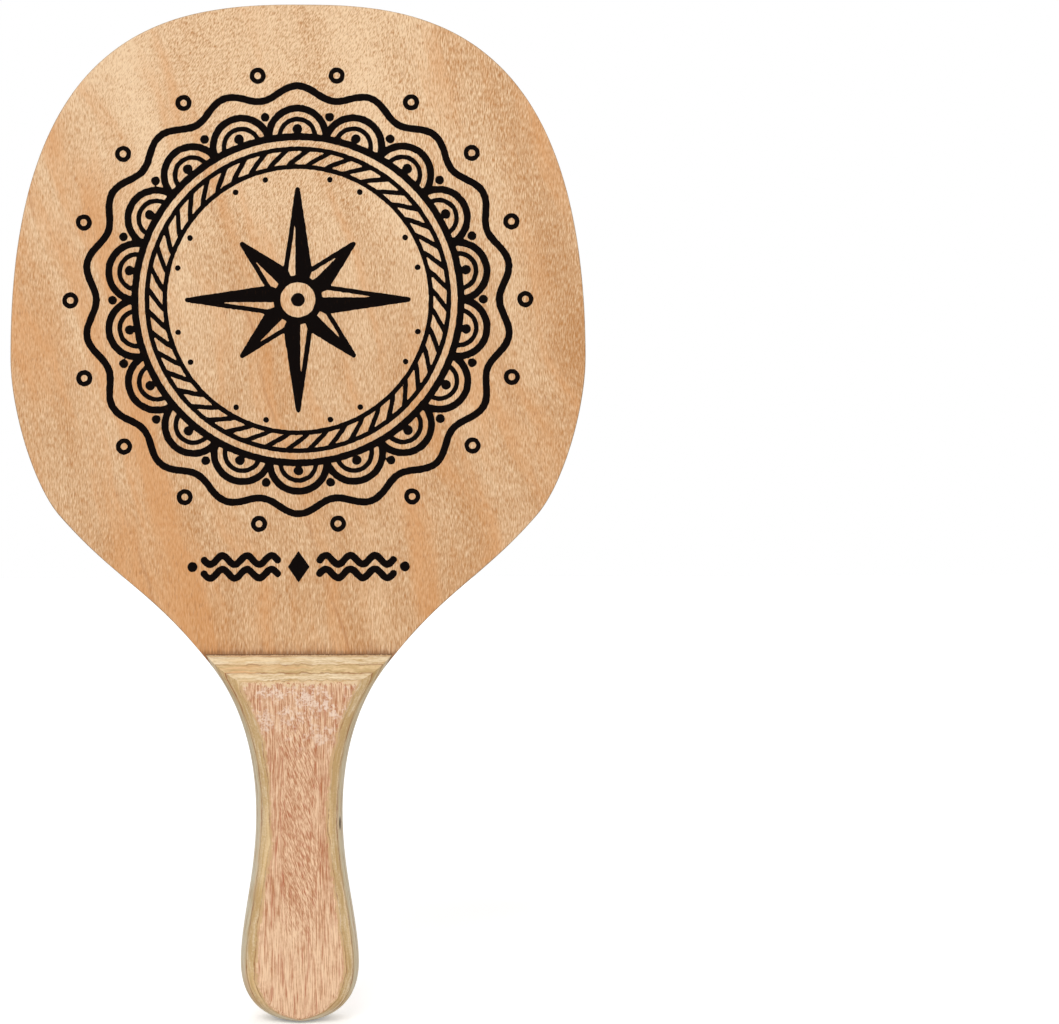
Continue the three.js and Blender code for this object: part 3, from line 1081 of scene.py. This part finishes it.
def ornament():
    solid([
        (0, ORNAMENT_Z + DIAMOND_HALF_HEIGHT), (DIAMOND_HALF_WIDTH, ORNAMENT_Z),
        (0, ORNAMENT_Z - DIAMOND_HALF_HEIGHT), (-DIAMOND_HALF_WIDTH, ORNAMENT_Z),
    ])
    path = np.linspace(RIPPLE_START, RIPPLE_END, RIPPLE_POINTS)
    turns = (path - RIPPLE_START) / (RIPPLE_END - RIPPLE_START) * RIPPLES
    for side in (-1, 1):
        for offset in (RIPPLE_OFFSET, -RIPPLE_OFFSET):
            heights = ORNAMENT_Z + offset + RIPPLE_SWING * np.sin(turns * 2 * math.pi)
            stroke(zip(side * path, heights), HEAVY)
        disc((side * END_DOT_X, ORNAMENT_Z), END_DOT)


compass_rose()
dial()
rope()
arches()
border()
ornament()

speckle = np.random.default_rng(INK_SEED).standard_normal(field.shape)
for axis, times in INK_SMOOTHING:
    for _ in range(times):
        speckle = (np.roll(speckle, 1, axis) + 2 * speckle + np.roll(speckle, -1, axis)) / 4
field += speckle / speckle.std() * INK_ROUGHNESS


# From the field to a slab

# By which sides of a cell the ink's edge enters and leaves it, with the ink on its left. The key adds up the
# corners in the ink: 1 and 2 are at the bottom left and right, 4 and 8 at the top right and left.
MARCH = {
    1: ["bl"], 2: ["rb"], 3: ["rl"], 4: ["tr"], 5: ["bl", "tr"], 6: ["tb"], 7: ["tl"],
    8: ["lt"], 9: ["bt"], 10: ["rb", "lt"], 11: ["rt"], 12: ["lr"], 13: ["br"], 14: ["lb"],
}
# Of an edge's points, those that lie within the tolerance are left out, but not too many in a row
TOLERANCE = 0.02
LONGEST_SKIP = 12
# An edge with no more points than this is a stray speck
SPECK_POINTS = 8
WELD = CELL / 1000
INK_HEIGHT = 0.05 * MM
INK_SINK = 0.03 * MM


def crossing(row, column, upright):
    """Where the ink's edge crosses a side of a cell, which starts at a row and column."""
    start = field[row, column]
    end = field[row + 1, column] if upright else field[row, column + 1]
    move = start / (start - end) * CELL
    return columns[column] + (0 if upright else move), rows[row] + (move if upright else 0)


def contours():
    """Closed loops round the ink, by marching squares."""
    inside = (field < 0).astype(int)
    keys = inside[:-1, :-1] + 2 * inside[:-1, 1:] + 4 * inside[1:, 1:] + 8 * inside[1:, :-1]
    follow = {}
    for row, column in np.argwhere((keys > 0) & (keys < 15)).tolist():
        sides = {
            "b": (row, column, False), "t": (row + 1, column, False),
            "l": (row, column, True), "r": (row, column + 1, True),
        }
        for start, end in MARCH[int(keys[row, column])]:
            follow[sides[start]] = sides[end]
    loops = []
    while follow:
        side = next(iter(follow))
        loop = []
        while side in follow:
            loop.append(crossing(*side))
            side = follow.pop(side)
        loops.append(np.array(loop))
    return loops


def simplified(loop):
    """Leaves out points that lie close to the line between their kept neighbours."""
    kept = [0]
    for index in range(2, len(loop)):
        start = kept[-1]
        chord = loop[index] - loop[start]
        between = loop[start + 1:index] - loop[start]
        offset = abs(between[:, 0] * chord[1] - between[:, 1] * chord[0]) / max(np.hypot(*chord), TINY)
        if offset.max() > TOLERANCE or index - start > LONGEST_SKIP:
            kept.append(index - 1)
    return loop[kept]


def sampled(points):
    """The field at points, between its grid's rows and columns."""
    across = (points[:, 0] - columns[0]) / CELL
    down = (points[:, 1] - rows[0]) / CELL
    column, row = across.astype(int), down.astype(int)
    a, b = across - column, down - row
    low = field[row, column] * (1 - a) + field[row, column + 1] * a
    high = field[row + 1, column] * (1 - a) + field[row + 1, column + 1] * a
    return low * (1 - b) + high * b


def printed(name, loops, material):
    """A thin closed slab of ink on the blade's front face."""
    starts = np.cumsum([0] + [len(loop) for loop in loops]).tolist()
    edges = [
        (start + i, start + (i + 1) % len(loop))
        for start, loop in zip(starts, loops) for i in range(len(loop))
    ]
    points = [Vector(corner) for loop in loops for corner in loop]
    points, _, triangles, *_ = delaunay_2d_cdt(points, edges, [], 1, WELD)
    flat, triangles = np.array(points), np.array(triangles)
    triangles = triangles[sampled(flat[triangles].mean(axis=1)) < 0]
    sides = {(int(a), int(b)) for t in triangles for a, b in zip(t, np.roll(t, -1))}
    rim = [(a, b) for a, b in sides if (b, a) not in sides]
    count = len(flat)
    vertices = np.concatenate([
        np.column_stack((flat[:, 0] * MM, np.full(count, -depth), flat[:, 1] * MM + PRINT_Z))
        for depth in (BLADE_Y + INK_HEIGHT, BLADE_Y - INK_SINK)
    ])
    faces = triangles.tolist() + (triangles[:, ::-1] + count).tolist()
    faces += [(b, a, a + count, b + count) for a, b in sorted(rim)]
    new_piece(name, vertices, faces, material)


edge_loops = [simplified(loop) for loop in contours() if len(loop) > SPECK_POINTS]
printed("printed_design", edge_loops, ink("print_ink"))


# Camera

IMAGE_WIDTH, IMAGE_HEIGHT = 1059, 1024
# The rows of the racket's tip and butt in the photograph, and the column of its middle
PHOTO_TOP, PHOTO_BOTTOM = 4.3, 1019.6
PHOTO_AXIS = 298.5
DISTANCE = 0.9
ROLL = math.radians(0.17)
SENSOR = 36

pixel = LENGTH / (PHOTO_BOTTOM - PHOTO_TOP)
camera = bpy.data.objects.new("camera", bpy.data.cameras.new("camera"))
camera.data.sensor_width = SENSOR
camera.data.lens = SENSOR * DISTANCE / (IMAGE_WIDTH * pixel)
camera.data.shift_x = (IMAGE_WIDTH / 2 - PHOTO_AXIS) / IMAGE_WIDTH
middle_z = BUTT_Z + (PHOTO_BOTTOM - IMAGE_HEIGHT / 2) * pixel
camera.location = (0, -DISTANCE - BLADE_Y, middle_z)
camera.rotation_euler = (math.pi / 2, ROLL, 0)
bpy.context.scene.collection.objects.link(camera)
bpy.context.scene.camera = camera

# Floor

FLOOR_REACH = 6
FLOOR_CORNERS = ((-1, -1), (1, -1), (1, 1), (-1, 1))
FLOOR_GREY = (0.8, 0.8, 0.8, 1)
WHITE = (1, 1, 1, 1)
FLOOR_GLOW = 0.25

floor_mesh = bpy.data.meshes.new("floor")
corners = [(x * FLOOR_REACH, y * FLOOR_REACH, BUTT_Z) for x, y in FLOOR_CORNERS]
floor_mesh.from_pydata(corners, [], [(0, 1, 2, 3)])
floor = bpy.data.objects.new("floor", floor_mesh)
bpy.context.scene.collection.objects.link(floor)
paper = Material("floor_paper")
seen = paper.node("LightPath").outputs["Is Camera Ray"]
paper.fill(paper.shader, {
    "Base Color": paper.mix(seen, FLOOR_GREY, WHITE),
    "Emission Color": WHITE,
    "Emission Strength": paper.product(seen, FLOOR_GLOW),
    "Roughness": 1.0,
    "Specular IOR Level": 0.0,
})
floor_mesh.materials.append(paper.material)

# Light

# The sky's strength on the object and where it is seen
SKY_STRENGTHS = (0.45, 1.0)

world = bpy.data.worlds.new("studio")
bpy.context.scene.world = world
sky = Graph(world)
rays = sky.node("LightPath").outputs
seen = sky.math("MAXIMUM", rays["Is Camera Ray"], rays["Is Glossy Ray"])
seen = sky.math("MAXIMUM", seen, rays["Is Transmission Ray"])
background = sky.tree.nodes["Background"]
sky.put(sky.blend(seen, *SKY_STRENGTHS), background.inputs["Strength"])
sky.put(WHITE, background.inputs["Color"])


def sun(name, azimuth, elevation, strength, spread):
    """A lamp that shines from an azimuth and an elevation, in degrees. 0 is in front of the racket."""
    lamp = bpy.data.lights.new(name, "SUN")
    lamp.energy = strength
    lamp.angle = math.radians(spread)
    holder = bpy.data.objects.new(name, lamp)
    holder.rotation_euler = (math.radians(90 - elevation), 0, math.radians(azimuth))
    bpy.context.scene.collection.objects.link(holder)


sun("key", azimuth=-18, elevation=38, strength=1.17, spread=35)
sun("fill", azimuth=30, elevation=20, strength=0.52, spread=60)
sun("back", azimuth=180, elevation=35, strength=1.1, spread=60)

bpy.context.scene.view_settings.view_transform = "Standard"
